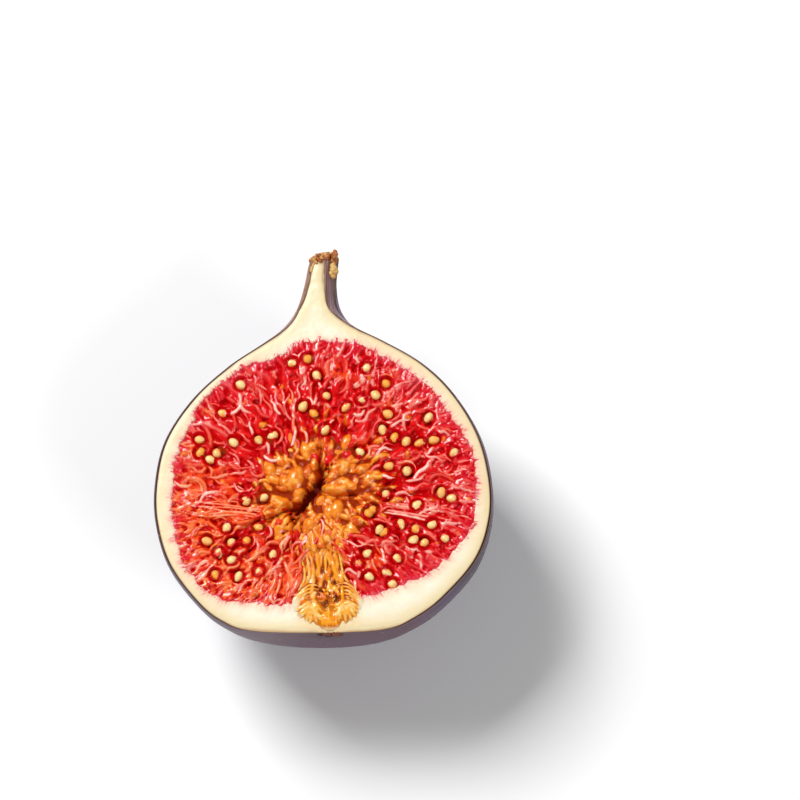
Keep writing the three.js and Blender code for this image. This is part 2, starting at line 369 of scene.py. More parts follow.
mauve_and_highlight = skin.mix((z + streaks).step(-1.7, -2.3), mauve_and_highlight, "a598ae")
skin.coat(y.step(21.0, 28.0) * 0.8, mauve_and_highlight)
skin.coat(to_stalk * streaks.step(0.35, 0.62) * 0.6, "a07a58")
left_edge = x.step(0.3, -0.9) * z.step(-2.4, -0.9)
skin.coat(y.step(24.0, 32.0) * left_edge * 0.85, "b08468")
skin.coat(to_eye * 0.45, "6b3030")
skin.coat((y + patches).step(38.4, 39.3), "9a5f30")
cells = {"Vector": skin.place(), "Scale": 1 / (PORE_CELL * MM)}
from_pore = skin.node("ShaderNodeTexVoronoi", {"feature": "F1"}, cells)
pore_kind = Wire(skin, from_pore.socket.node.outputs["Color"])
skin.coat(z.step(-0.7, -0.1) * 0.5, "7c5e52")
pore = from_pore.step(0.15, 0.08) * pore_kind.step(0.4, 0.55)
skin.coat(pore * 0.75, "b4937c")
skin.coat(fine_streaks.step(0.5, 0.75) * 0.25, "1f0f1c")
grains = (skin.cloud(0.55), 0.035), (skin.cloud(0.16), 0.012)
skin.wear(0.36 + bloom * 0.22 + skin.cloud(0.8) * 0.1, (fine_streaks, 0.12), *grains, (pore, 0.04))
finished_piece("skin", bm, skin, "skin", "rind")

# ---- Flesh ----
# Moist cream-coloured tissue under the skin, up through the neck to the stalk's tip. The knife left it flat
# and faintly fibrous. It is dished where the pulp grows out of it, and opens in a throat at the eye.
PULP_EDGE = [
    (-0.2, 24.94), (7.9, 22.69), (15.2, 17.58), (20.4, 11.34), (23.0, 3.88), (22.4, -4.39),
    (17.4, -11.24), (9.5, -14.92), (1.0, -15.94), (-9.1, -16.56), (-16.0, -15.33), (-20.9, -10.63),
    (-23.3, -2.35), (-23.0, 4.6), (-20.5, 12.98), (-15.0, 19.01), (-7.5, 22.59),
]
HOLLOW = Vector((-1.3, 0.2))
THROAT = [  # from the mouth to the hollow: place along Y, the middle's X and the half width
    (-20.9, 0.9, 2.2), (-20.0, 0.9, 4.2), (-18.2, 0.8, 5.5), (-16.2, 0.6, 5.2),
    (-14.2, 0.2, 4.2), (-12.0, -0.1, 3.4), (-9.4, -0.2, 3.1), (-6.4, -0.4, 2.9),
]
FLESH_SIDES = 300
FLESH_RINGS = 230
FACE_SHARE = 0.28  # of the way round: from here on, a ring crosses the cut face
MOUTH_X = 0.8
BOWL_DEPTH = 9.0  # of the flesh under the pulp
FAR = 9.0  # further than any finish looks

EDGE_STEPS = 1200
edge_points = []
edge_radii = {}
for k in range(EDGE_STEPS):  # the pulp ends in uneven tufts
    away = Vector(along_curve(PULP_EDGE, k / EDGE_STEPS, closed=True)) - HOLLOW
    way = away.normalized()
    tufts = 0.6 * smooth_noise(5 * way.x, 5 * way.y, 1.0)
    tufts += 0.55 * smooth_noise(19 * way.x, 19 * way.y, 2.0)
    away += way * tufts
    edge_points.append(HOLLOW + away)
    edge_radii[round(math.degrees(math.atan2(away.y, away.x))) % 360] = away.length


def pulp_radius(angle):
    """From the hollow to the pulp's edge, in a direction on the cut face."""
    degrees = math.degrees(angle) % 360
    low = int(degrees)
    share = degrees - low
    return edge_radii[low] * (1 - share) + edge_radii[(low + 1) % 360] * share


def size_in_pulp(x, y):
    """0 at the hollow, 1 at the pulp's edge, more outside it."""
    away = Vector((x, y)) - HOLLOW
    return away.length / pulp_radius(math.atan2(away.y, away.x))


def throat_at(y):
    """The throat's middle and half width at a place along Y."""
    k = next(k for k in range(1, len(THROAT)) if y <= THROAT[k][0] or k == len(THROAT) - 1)
    low, high = THROAT[k - 1], THROAT[k]
    share = (y - low[0]) / (high[0] - low[0])
    return low[1] + (high[1] - low[1]) * share, low[2] + (high[2] - low[2]) * share


def across_throat(x, y):
    """0 on the throat's middle line, 1 at its walls, more outside it."""
    if not THROAT[0][0] < y < THROAT[-1][0]:
        return FAR
    middle, half_width = throat_at(y)
    return abs(x - middle) / half_width


def tree_of(points):
    """A search tree of points by their places on the cut."""
    tree = kdtree.KDTree(len(points))
    for k, point in enumerate(points):
        tree.insert((point[0], point[1], 0.0), k)
    tree.balance()
    return tree


RIM_STEPS = 600
edge_tree = tree_of(edge_points)
rim_rings = [k / RIM_STEPS for k in range(4, RIM_STEPS - 3)]
rim_tree = tree_of([on_fruit(ring, side)[:2] for ring in rim_rings for side in (0.0, 1.0)])


def outside_pulp(x, y):
    """Distance from the pulp's edge on the cut face: more than 0 in the flesh, less in the pulp."""
    distance = edge_tree.find((x, y, 0.0))[2]
    return distance if size_in_pulp(x, y) > 1 else -distance


def hollowed(x, y, middle_y, half_width, half_length):
    """1 in the middle of a soft round hollow in the mouth, and less outwards."""
    return math.exp(-(((x - MOUTH_X) / half_width) ** 2) - ((y - middle_y) / half_length) ** 2)


bm = closed_ball(FLESH_SIDES, FLESH_RINGS)
to_pulp = bm.verts.layers.float.new("to_pulp")
to_skin = bm.verts.layers.float.new("to_skin")
in_throat = bm.verts.layers.float.new("in_throat")
under = SKIN_THICKNESS - 0.03  # the flesh reaches a little into the skin, so that no gap shows
for vert in bm.verts:
    ring, turn = ring_and_turn(vert.co)
    if turn <= FACE_SHARE:
        x, y, z = on_fruit(ring, turn / FACE_SHARE, under)
        vert[to_pulp] = FAR
    else:
        left, y, z = on_fruit(ring, 1.0, under)
        right = on_fruit(ring, 0.0, under)[0]
        across = (turn - FACE_SHARE) / (1 - FACE_SHARE)
        x = left + (right - left) * across
        vert[to_pulp] = outside_pulp(x, y)
        vert[to_skin] = rim_tree.find((x, y, 0.0))[2]
        swell = 0.1 * smooth(0.0, 1.2, vert[to_skin]) + 0.07 * smooth_noise(0.3 * x, 0.3 * y)
        swell += 0.03 * smooth_noise(1.3 * x, 1.3 * y, 5.0)
        inside = max(-vert[to_pulp], 0.0)
        bowl = BOWL_DEPTH * (1 - math.exp(-0.4 * inside))
        z = min(z, -0.04) + swell * smooth(0.0, 0.8, vert[to_skin]) - bowl
        vert[in_throat] = smooth(1.05, 0.8, across_throat(x, y)) * smooth(0.2, 0.9, vert[to_skin])
        z -= 0.7 * vert[in_throat] * math.exp(-inside) * smooth(-15.5, -13.0, y)
        z -= 0.9 * hollowed(x, y, -16.7, 2.1, 1.5)
    vert.co = in_place(x, y, z)
bmesh.ops.remove_doubles(bm, verts=bm.verts, dist=1e-7)

flesh = Finish(
    "fig_flesh",
    Subsurface_Weight=0.25,
    Subsurface_Radius=(1.0, 0.6, 0.3),
    Subsurface_Scale=0.0012,
    IOR=1.38,
    Coat_Weight=0.15,
    Coat_Roughness=0.2,
)


def distance_of(across, along):
    """How far a point lies from nought."""
    return (across * across + along * along) ** 0.5


x, y, _ = flesh.on_cut()
distance = distance_of(x - HOLLOW.x, y - HOLLOW.y)
heading = flesh.turn(x - HOLLOW.x, HOLLOW.y - y)
outwards = flesh.vector(heading * 20, distance * 0.28, 0.0)
fibres = flesh.cloud(0.55, outwards, detail=4.0, roughness=0.6)
broad_fibres = flesh.cloud(1.5, outwards, detail=2.0)
hairs = flesh.cloud(0.3, flesh.vector(heading * 24, distance * 0.2, 0.0), detail=2.0, roughness=0.6)
from_pulp = flesh.attribute("to_pulp")
from_skin = flesh.attribute("to_skin")
clouds = flesh.cloud(4.5)
flesh.colour = flesh.mix(clouds.step(0.35, 0.7), "fbf2dc", "f6e8cb")
flesh.coat(from_skin.step(3.0, 0.5) * 0.8, "ecd7a6")
flesh.coat((from_skin + clouds * 0.5).step(0.85, 0.3) * 0.9, "c39a6c")
neck = y.step(25.0, 31.0)
flesh.coat(neck * fibres.step(0.4, 0.65) * 0.4, "ebe6b4")
flesh.coat((y + clouds).step(37.2, 38.8) * 0.9, "a5642c")
peach = (from_pulp + broad_fibres * 1.6).step(2.9, 0.4)
flesh.coat(peach * 0.7, "fac4a2")
ragged = from_pulp + hairs * 3.6 + broad_fibres * 2.0
flesh.coat(ragged.step(3.6, 2.1) * 0.8, "f0707c")
flesh.coat(ragged.step(3.0, 1.9) * 0.9, "d01c3c")
throat = flesh.attribute("in_throat") * y.step(-18.5, -16.5)
flesh.coat((throat + fibres * 0.3).step(0.3, 0.9) * 0.7, "eebc6c")
from_mouth = distance_of((x - MOUTH_X) / 5.4, (y + 18.6) / 2.8)
flesh.coat((from_mouth + fibres * 0.4).step(1.35, 0.9) * 0.6, "f3d29c")
flesh.wear(0.34 + clouds * 0.16, (fibres, 0.05), (flesh.cloud(0.35), 0.03))
piece = finished_piece("flesh", bm, flesh, "flesh", "rind")
piece.data.set_sharp_from_angle(angle=math.radians(50))

# ---- Stalk end ----
# The fruit was snapped off its twig, so the stalk ends in a rough cap of dried brown tissue. Tan warts
# of dried sap sit below it on the right, and small ones run up the left edge.
UP = Vector((0, 0, 1))


class Dice:
    """Numbers that look random and are the same at each run. A call throws one from low to high."""

    STEP = 48271
    SIDES = 2147483647

    def __init__(self, seed):
        self.state = seed

    def __call__(self, low=0, high=1):
        self.state = self.state * self.STEP % self.SIDES
        return low + (high - low) * self.state / self.SIDES


def laid(*points):
    """A smooth middle line through points of the cut's millimetres."""
    return lambda share: Vector(along_curve(points, share))


def towards(angle):
    """A step of one millimetre in a direction on the cut."""
    return Vector((math.cos(angle), math.sin(angle)))


def new_growth():
    """A mesh for a crowd of limbs, with each limb's tint and, at each point, its crest: 1 on top and 0
    at the sides."""
    growth = bmesh.new()
    for name in ("tint", "crest"):
        growth.verts.layers.float.new(name)
    return growth


blank_limbs = {}


def grow_limb(growth, middle, half_width, tint, uneven=0.2, flat=1.0, sides=8, rings=8):
    """Adds a closed limb along a middle line, from its root at share 0 to its tip at share 1."""
    if (sides, rings) not in blank_limbs:
        ball = closed_ball(sides, rings)
        blank_limbs[sides, rings] = bpy.data.meshes.new("blank_limb")
        ball.to_mesh(blank_limbs[sides, rings])
        ball.free()
    blank = blank_limbs[sides, rings]
    growth.from_mesh(blank)
    growth.verts.ensure_lookup_table()
    layers = [growth.verts.layers.float[name] for name in ("tint", "crest")]
    frames = {}
    for vert in growth.verts[-len(blank.vertices) :]:
        share, turn = ring_and_turn(vert.co)
        if share not in frames:
            along = middle(min(share + 0.04, 1.0)) - middle(max(share - 0.04, 0.0))
            side = along.cross(UP).normalized()
            frames[share] = middle(share), side, side.cross(along).normalized(), half_width(share)
        here, side, lift, width = frames[share]
        across, rise = math.cos(turn * math.tau), math.sin(turn * math.tau)
        width *= 1 + uneven * smooth_noise(4 * share + 57 * tint, 1.6 * across, 1.6 * rise)
        vert.co = in_place(*(here + width * (across * side + flat * rise * lift)))
        for layer, value in zip(layers, (tint, rise)):
            vert[layer] = value


def lump(width):
    """The half width of a short round lump."""
    return lambda share: width * math.sin(math.pi * share) ** 0.6


def grow_lump(growth, here, half, width, tint, uneven, flat=1.0):
    """Adds a lump round a point, half its length to each side."""
    grow_limb(growth, laid(here - half, here, here + half), lump(width), tint, uneven, flat)


RIM_CRUMBS = 23  # round the broken end, and as many again inside it
bm = new_growth()
dice = Dice(1848)
for k in range(2 * RIM_CRUMBS):
    round_stalk = math.pi * (k % RIM_CRUMBS + dice(-0.4, 0.4)) / (RIM_CRUMBS - 1)
    reach = 1.0 if k < RIM_CRUMBS else dice(0.1, 0.8)
    x = -0.3 + 1.75 * reach * math.cos(round_stalk)
    z = -0.3 - 2.9 * reach * math.sin(round_stalk)
    y = 39.0 + dice(-0.6, 0.3) - 0.35 * reach + 0.3 * min(x, 0.5)
    heading = Vector((dice(-1, 1), dice(-0.8, 0.8), dice(-0.6, 0.6))).normalized()
    half = heading * dice(0.25, 0.6)
    grow_lump(bm, Vector((x, y, z)), half, dice(0.25, 0.46), dice(0, 0.6), 0.9)
for k in range(13):  # down the right edge
    y = 39.4 - 0.32 * k + dice(-0.2, 0.2)
    x = 1.3 - 0.03 * k + dice(-0.3, 0.25)
    z = dice(-1.2, -0.25)
    bend = dice(-0.2, 0.3)
    middle = laid((x - bend, y - 0.5, z), (x + 0.1, y, z + 0.05), (x, y + 0.5, z))
    grow_limb(bm, middle, lump(dice(0.2, 0.42)), dice(0, 0.5) + 0.4 * (k > 5), 0.6)
WARTS = [(1.15, 36.5, 0.75, 0.55), (1.45, 36.1, 0.45, 0.4), (0.95, 37.1, 0.4, 0.36)]
for x, y, half_length, width in WARTS:
    middle = laid((x - 0.1, y - half_length, -0.6), (x + 0.1, y, -0.5), (x, y + half_length, -0.6))
    grow_limb(bm, middle, lump(width), 0.9, 0.5, sides=12, rings=12)
for k in range(9):  # up the left edge
    here = Vector((-2.25 + 0.09 * k, 36.3 + 0.3 * k, dice(-0.4, -0.2)))
    half = Vector((dice(0.0, 0.2), dice(0.3, 0.6), 0))
    grow_lump(bm, here, half, dice(0.14, 0.26), dice(0.5, 0.8), 0.6)
for k in range(22):  # along the end of the cut, in two rows
    x = -2.3 + 3.5 * (k % 11) / 10
    here = Vector((x, dice(38.1, 39.0) + 0.3 * min(x, 0.5), dice(-0.35, -0.1)))
    half = Vector((dice(-0.4, 0.4), dice(-0.5, 0.5), dice(-0.1, 0.1)))
    grow_lump(bm, here, half, dice(0.18, 0.34), dice(0, 0.7), 0.9)

bark = Finish("stalk_bark", IOR=1.45)
tint = bark.attribute("tint")
crumbs = bark.cloud(0.5, detail=5.0, roughness=0.65)
bark.colour = bark.mix(tint.step(0.15, 0.85), "b4622a", "e8bc72")
bark.coat(crumbs.step(0.55, 0.75) * 0.7, "edc98e")
bark.coat(crumbs.step(0.42, 0.25) * 0.7, "5b3020")
bark.wear(0.55 + bark.cloud(0.7) * 0.3, (crumbs, 0.2), (bark.cloud(0.15), 0.05))
finished_piece("stalk_end", bm, bark, "skin", "rind")

# ---- Pulp ----
# A crowd of soft wet florets that grow inwards from the flesh, pressed so close that they run into one
# body. They are crimson, and amber round the hollow in the middle, where a slit and cracks stand open.
SLIT_MIDDLE = Vector((-2.2, 0.5))
SLIT_HALF_WIDTH = 0.78
SLIT_HALF_LENGTH = 4.4
SLIT_DEPTH = 2.2
SLIT_TURN = -0.62
CRACKS = [  # each from the slit outwards, with its half width at the slit and its depth
    ([(-3.6, -1.6), (-5.6, -1.6), (-8.0, -2.9), (-10.6, -3.4), (-12.6, -4.6)], 0.5, 1.9),
    ([(-1.0, 1.2), (0.8, 0.6), (2.4, 0.2), (4.4, 0.5), (6.8, -0.9)], 0.36, 1.5),
    ([(-0.3, 3.6), (-0.9, 5.6), (-0.5, 7.6), (-0.8, 9.8)], 0.42, 1.8),
    ([(-3.8, -2.6), (-4.9, -4.6), (-4.6, -6.4), (-5.2, -8.6)], 0.34, 1.5),
]
PULP_LEVEL = -0.55
PULP_SIDES = 600
PULP_RINGS = 160
TOP_SHARE = 0.93  # of the way from the top pole: the rings after it close the body underneath
PULP_UNDERSIDE = -1.2  # the level of the underside at the pulp's edge
PULP_BELLY = 6.0
GOLDEN_ANGLE = math.pi * (3 - math.sqrt(5))
SEED_TRIES = 88
OPENING_REACH = 14  # the slit and its cracks lie within this distance of the slit's middle
LEVEL, TINT, CREST, PALE, AMBER = range(2, 7)  # what a spot of a wet body holds, after its x and y


class WetBody:
    """A closed body with a top of soft limbs melted into each other."""

    STEP = 0.15  # between the places where a limb is laid, in millimetres
    THINNEST = 0.06

    def __init__(self, sides, rings, melt):
        self.bm = closed_ball(sides, rings)
        self.melt = melt  # how far under a limb's top its neighbours still run into it, in millimetres
        self.verts = []
        self.spots = []
        self.tree = None
        names = ("tint", "crest", "pale", "amber", "deep", "size")
        self.layers = [self.bm.verts.layers.float.new(name) for name in names]

    def add_spot(self, vert, x, y, z, crest=-0.3, pale=0.0, amber=0.0):
        self.verts.append(vert)
        self.spots.append([x, y, z, 0.5, crest, pale, amber])

    def lay(self, middle, half_width, tint, pale=0.0, amber=0.0, flat=0.8, uneven=0.3):
        """Melts a limb in along a middle line. Its crest is 1 on top and less than 0 beside it."""
        self.tree = self.tree or tree_of(self.spots)
        uppermost = {}
        length = sum((middle(k / 8) - middle(k / 8 - 0.125)).length for k in range(1, 9))
        steps = max(8, int(length / self.STEP))
        for k in range(steps + 1):
            share = k / steps
            x, y, z = middle(share)
            width = half_width(share) * (1 + uneven * smooth_noise(3 * share, 57 * tint))
            if width < self.THINNEST:
                continue
            for _, index, distance in self.tree.find_range((x, y, 0.0), 1.4 * width):
                crest = 1 - (distance / width) ** 2
                rise = z + flat * width * crest
                if index not in uppermost or rise > uppermost[index][0]:
                    uppermost[index] = rise, crest
        for index, (rise, crest) in uppermost.items():
            spot = self.spots[index]
            over = min(max(0.5 + 0.5 * (rise - spot[LEVEL]) / self.melt, 0.0), 1.0)
            spot[LEVEL] += over * (rise - spot[LEVEL]) + self.melt * over * (1 - over)
            for k, value in zip((TINT, CREST, PALE, AMBER), (tint, crest, pale, amber)):
                spot[k] += over * (value - spot[k])

    def dent(self, x, y, radius, depth):
        """Presses a groove round a grain, and lowers what lies inside it. The groove gets a crest of -1 and
        no pale, which the finish paints as shade.
        """
        for _, index, distance in self.tree.find_range((x, y, 0.0), radius * 1.5):
            ring = math.exp(-(((distance - radius) / (0.3 * radius)) ** 2))
            spot = self.spots[index]
            spot[LEVEL] -= depth * max(ring, smooth(radius, 0.7 * radius, distance))
            spot[CREST] -= (spot[CREST] + 1.0) * ring
            spot[PALE] *= 1 - ring

    def shape(self, deep, size):
        """Sets the top's vertices. Deep and size tell how open a spot is and where in the pulp."""
        for vert, (x, y, z, *limb) in zip(self.verts, self.spots):
            depth = deep(x, y)
            vert.co = in_place(x, y, z - depth)
            for layer, value in zip(self.layers, (*limb, depth, size(x, y))):
                vert[layer] = value


def from_line(x, y, line):
    """The distance to a line of points, and the share of the way along it of the nearest place."""
    best = (math.inf, 0.0)
    for k in range(len(line) - 1):
        start, end = Vector(line[k]), Vector(line[k + 1])
        run = end - start
        share = min(max((Vector((x, y)) - start).dot(run) / run.length_squared, 0.0), 1.0)
        best = min(best, ((Vector((x, y)) - start - run * share).length, (k + share) / (len(line) - 1)))
    return best


def opening(x, y):
    """How far the slit and the cracks lower the pulp, in millimetres."""
    dx, dy = x - SLIT_MIDDLE.x, y - SLIT_MIDDLE.y
    if math.hypot(dx, dy) > OPENING_REACH:
        return 0.0
    across = dx * math.cos(SLIT_TURN) + dy * math.sin(SLIT_TURN)
    along = dy * math.cos(SLIT_TURN) - dx * math.sin(SLIT_TURN)
    wobble = 1 + 0.4 * smooth_noise(0.7 * x, 0.7 * y, 3.0) + 0.5 * smooth_noise(2 * x, 2 * y, 5.0)
    inside = math.hypot(across / SLIT_HALF_WIDTH, along / SLIT_HALF_LENGTH) * wobble
    depth = SLIT_DEPTH * smooth(1.2, 0.5, inside)
    for line, half_width, crack_depth in CRACKS:
        distance, share = from_line(x, y, line)
        half_width = half_width * (1.15 - 0.8 * share) * (1 + 0.5 * smooth_noise(x, y, 8.0))
        depth = max(depth, crack_depth * (1 - 0.7 * share) * math.exp(-((distance / half_width) ** 2)))
    return depth


def in_pulp(angle, size):
    """The point of the cut in a direction from the hollow, at a size in the pulp."""
    reach = pulp_radius(angle) * size
    return Vector((HOLLOW.x + reach * math.cos(angle), HOLLOW.y + reach * math.sin(angle)))


def over_pulp(points, levels):
    """A smooth middle line over points of the cut, each at its level in the pulp."""
    return laid(*[(*point, PULP_LEVEL + level) for point, level in zip(points, levels)])


def spread(count, from_size, to_size, dice, wander):
    """Places spread evenly over the pulp by the golden angle, each as a direction and a size."""
    for k in range(count):
        angle = k * GOLDEN_ANGLE + dice(-wander, wander)
        size = math.sqrt(from_size**2 + (to_size**2 - from_size**2) * (k + 0.5) / count)
        size += 0.1 * dice(-wander, wander)
        x, y = in_pulp(angle, size)
        if across_throat(x, y) > 1.0 or y > -8.5:
            yield angle, size


def wandering(start, heading, length, turns, levels):
    """A middle line that starts at a point of the cut and turns as it goes, at levels in the pulp."""
    steps = 16
    points = [start.copy()]
    for k in range(steps):
        way = heading + along_curve([(t,) for t in turns], k / steps)[0]
        points.append(points[-1] + towards(way) * length / steps)

    def middle(share):
        level = along_curve([(v,) for v in levels], share)[0]
        return Vector((*along_curve(points, share), PULP_LEVEL + level))

    return middle


def seed_places():
    """Where the seeds lie on the cut: clear of the slit and the throat, and more on the right."""
    dice = Dice(90210)
    for angle, size in spread(SEED_TRIES, 0.34, 0.93, dice, 0.35):
        spot = in_pulp(angle, size)
        clear = opening(*spot) < 0.2 and not (abs(spot.x + 0.3) < 4.6 and spot.y < -2)
        if clear and (math.cos(angle) > -0.25 or dice() > 0.3):
            yield spot


def amber_share(x, y, size):
    """How amber a floret is: most round the hollow and at the head of the throat."""
    at_throat = smooth(4.6, 2.4, abs(x + 0.3)) * smooth(-12.0, -9.0, y) * smooth(3.0, 0.0, y)
    return max(smooth(0.56, 0.34, size), at_throat)


def sac(width):
    """The half width of a floret: slim at its root, full towards its tip."""
    return lambda share: width * math.sin(math.pi * share**1.25) ** 0.75


def thread(width):
    """The half width of a strand: slim at its root, fuller towards its round tip."""
    return lambda share: width * (0.65 + 0.55 * share) * math.sin(math.pi * share**1.1) ** 0.4


pulp = WetBody(PULP_SIDES, PULP_RINGS, 0.16)
for vert in pulp.bm.verts:
    ring, turn = ring_and_turn(vert.co)
    angle = turn * math.tau
    down = 1 - ring
    on_top = down <= TOP_SHARE
    size = 1.03 * ((down / TOP_SHARE) ** 0.85 if on_top else (1 - down) / (1 - TOP_SHARE))
    x, y = in_pulp(angle, size)
    if on_top:
        lumps = 0.3 * smooth_noise(0.3 * x, 0.3 * y, 2.0) + 0.15 * smooth_noise(1.4 * x, 1.4 * y, 7.0)
        rim = smooth(0.95, 1.02, size)
        level = PULP_LEVEL + lumps * (1 - rim) + 0.4 * rim
        pulp.add_spot(vert, x, y, level, crest=rim - 0.3, amber=smooth(0.46, 0.34, size))
    else:
        vert.co = in_place(x, y, PULP_UNDERSIDE - PULP_BELLY * (1 - size**2))

# Roots come in from the flesh all round, fine and close together.
dice = Dice(2718)
ROOT_COUNT = 560
for k in range(ROOT_COUNT):
    angle = (k + dice(-0.5, 0.5)) * math.tau / ROOT_COUNT
    heading = angle + math.pi + dice(-0.4, 0.4)
    sway = dice(-0.8, 0.8)
    turns = [sway, -sway, 0.7 * sway, dice(-1.6, 1.6)]
    level = dice(-0.1, 0.35)
    start = in_pulp(angle, dice(0.99, 1.06))
    levels = [0.5, level + 0.15, level, level - 0.4]
    middle = wandering(start, heading, dice(3.0, 7.5), turns, levels)
    pale = dice() ** 2
    pulp.lay(middle, thread(dice(0.24, 0.46)), dice(), pale=pale)

# Florets fill the body. Their tips point to the hollow, and those round it are plump and amber.
FLORET_COUNT = 560
dice = Dice(4711)
for angle, size in spread(FLORET_COUNT, 0.3, 0.98, dice, 0.25):
    heading = angle + math.pi + dice(-0.6, 0.6)
    length = dice(3.0, 6.6) * (0.55 + 0.45 * size)
    bend = dice(-1.4, 1.4)
    turns = [-0.6 * bend, 0.2 * bend, bend]
    level = dice(-0.25, 0.25)
    levels = [level - 0.4, level, level, level - 0.3]
    middle = wandering(in_pulp(angle, size), heading, length, turns, levels)
    amber = amber_share(*middle(0.7)[:2], size - 0.08 + dice(-0.14, 0.14))
    pulp.lay(middle, sac(dice(0.36, 0.66)), dice(), amber=amber)
INNER_FLORET_COUNT = 80
pulp.melt = 0.07
for angle, size in spread(INNER_FLORET_COUNT, 0.12, 0.46, dice, 0.3):
    heading = angle + math.pi + dice(-0.9, 0.9)
    level = dice(-0.6, 0.1)
    levels = [level - 0.3, level, level, level - 0.2]
    middle = wandering(in_pulp(angle, size), heading, dice(1.6, 3.6), [0.4, 0.0, -0.4], levels)
    amber = amber_share(*middle(0.5)[:2], size + dice(-0.2, 0.2))
    pulp.lay(middle, sac(dice(0.55, 1.15)), dice(), amber=amber)
PLUMP = [  # middle on the cut, length, half width, and heading in degrees
    (-4.3, 3.1, 3.6, 1.7, 70), (-7.0, -0.2, 4.8, 1.1, 160), (-3.0, 7.4, 3.2, 0.9, 105),
    (1.8, 5.2, 3.4, 1.2, 20), (3.6, 2.3, 3.4, 1.1, 150), (6.8, 3.0, 3.2, 1.1, 60),
    (1.9, -1.9, 3.0, 1.3, 80), (0.1, -1.6, 2.6, 0.8, 95), (6.1, -2.2, 2.8, 1.0, 150),
    (-6.6, 6.0, 2.8, 1.0, 150), (-4.8, 9.2, 2.6, 0.9, 120), (-7.9, 2.9, 2.6, 1.0, 150),
    (3.4, 8.6, 2.8, 0.9, 70), (-3.0, -4.6, 3.4, 0.7, 80), (-6.6, -4.4, 4.0, 0.9, 55),
    (3.9, -4.2, 3.4, 0.7, 75), (1.5, 2.4, 2.8, 0.9, 40), (9.6, 5.4, 2.4, 0.9, 90),
    (-1.7, 5.4, 2.8, 0.8, 85), (-0.7, -0.4, 2.2, 0.7, 60), (-2.0, 3.2, 2.2, 0.7, 100),
    (0.2, 1.6, 2.0, 0.6, 30),
]
for x, y, length, width, heading in PLUMP:
    way = math.radians(heading)
    start = Vector((x, y)) - towards(way) * length / 2
    bend = dice(-0.3, 0.3)
    middle = wandering(start, way, length, [bend, 0.0, -bend], [-0.15, 0.0, 0.0, -0.1])
    pulp.lay(middle, lump(width), dice(0.3, 1), amber=1.0, flat=0.6, uneven=0.2)
LONG_FLORET_COUNT = 16  # they run from the hollow down to the head of the throat
for k in range(LONG_FLORET_COUNT):
    x = -3.6 + 0.43 * k + dice(-0.3, 0.3)
    y = -3.0 + dice(-1.2, 1.2) - 0.5 * (k % 3)
    end = y - dice(4.5, 6.5)
    sway = dice(-0.5, 0.5)
    points = [(0.8 * x - 0.4, y), (x + sway, y - 1.8), (x - sway, end + 1.6), (0.8 * x - 0.3, end)]
    middle = over_pulp(points, (-0.4, dice(-0.15, 0.2), dice(-0.15, 0.2), -0.6))
    pale = dice() ** 4
    pulp.lay(middle, sac(dice(0.36, 0.7)), dice(0.3, 1), pale=pale, amber=1.0)

# Here and there a floret is cut through and shows its orange grain, and a gap opens between others.
GRAIN_COUNT = 54
dice = Dice(6060)
for angle, size in spread(GRAIN_COUNT, 0.42, 0.96, dice, 0.35):
    heading = angle + dice(-1.2, 1.2)
    level = dice(-0.05, 0.2)
    start = in_pulp(angle, size)
    middle = wandering(start, heading, dice(1.2, 2.0), [0.0, 0.3], [level, level + 0.1, level])
    pulp.lay(middle, sac(dice(0.4, 0.64)), dice(), amber=dice(0.5, 1.0))
# Gaps also get a low crest, which the finish paints as shade.
for spot in pulp.spots:
    size = size_in_pulp(spot[0], spot[1])
    in_red = smooth(0.34, 0.44, size) * smooth(1.0, 0.9, size) * (1 - spot[AMBER])
    gap = in_red * smooth(0.22, 0.5, smooth_noise(0.75 * spot[0], 0.75 * spot[1], 11.0))
    spot[LEVEL] -= 0.5 * gap
    spot[CREST] -= (spot[CREST] + 1.0) * gap * 0.9

# Pale stalks of florets, cut across by the knife, lie on top in hooks and S bends.
PALE_STALK_COUNT = 330
dice = Dice(333)
pulp.melt = 0.08
for angle, size in spread(PALE_STALK_COUNT, 0.46, 1.0, dice, 0.3):
    heading = angle + math.pi + dice(-0.5, 0.5)
    sway = dice(0.2, 0.8) * (1 if dice() < 0.5 else -1)
    hook = dice(-2.4, 2.4)
    turns = [sway, -sway, 0.5 * sway, 0.5 * hook, hook]
    level = dice(0.15, 0.5)
    levels = [level - 0.6, level, level, level - 0.25]
    length = dice(3.0, 6.0) * (0.3 + 0.9 * size)
    middle = wandering(in_pulp(angle, size), heading, length, turns, levels)
    pale = dice() ** 0.7
    pulp.lay(middle, thread(dice(0.26, 0.46)), dice(), pale=pale, flat=1.0)
for spot in seed_places():
    if dice() < 0.5:
        start = dice(0, math.tau)
        curl = dice(1.7, 2.9)
        radius = dice(1.15, 1.45)
        root = spot + towards(start) * radius
        heading = start + math.pi / 2
        middle = wandering(root, heading, radius * curl, [0, curl / 2, curl], [-0.1, 0.4, 0.4, 0.0])
        pulp.lay(middle, thread(dice(0.24, 0.36)), dice(), pale=0.9, flat=1.0)
BUNDLES = [  # long pale fibres that run in from the flesh: where they start and end, and how many
    ((-23.6, -0.7), (-8.5, -2.4), 6), ((22.3, -3.9), (8.0, -1.5), 5), ((8.8, 21.2), (9.6, 13.0), 4),
]
for start, end, count in BUNDLES:
    start, end = Vector(start), Vector(end)
    run = end - start
    aside = Vector((-run.y, run.x)).normalized()
    for k in range(count):
        shift = aside * 2.6 * ((k + 0.5) / count - 0.5)
        wave = aside * dice(-0.4, 0.4)
        points = [start + shift * 0.6, start + run * 0.33 + shift + wave]
        points += [start + run * 0.66 + shift - wave, end + shift * 0.7]
        middle = over_pulp(points, (0.5, 0.5, 0.4, 0))
        pulp.lay(middle, thread(dice(0.18, 0.28)), dice(0.4, 1), pale=0.9, flat=1.0)
DENT_RADIUS = 0.9
DENT_DEPTH = 0.22
for spot in seed_places():
    pulp.dent(*spot, DENT_RADIUS, DENT_DEPTH)


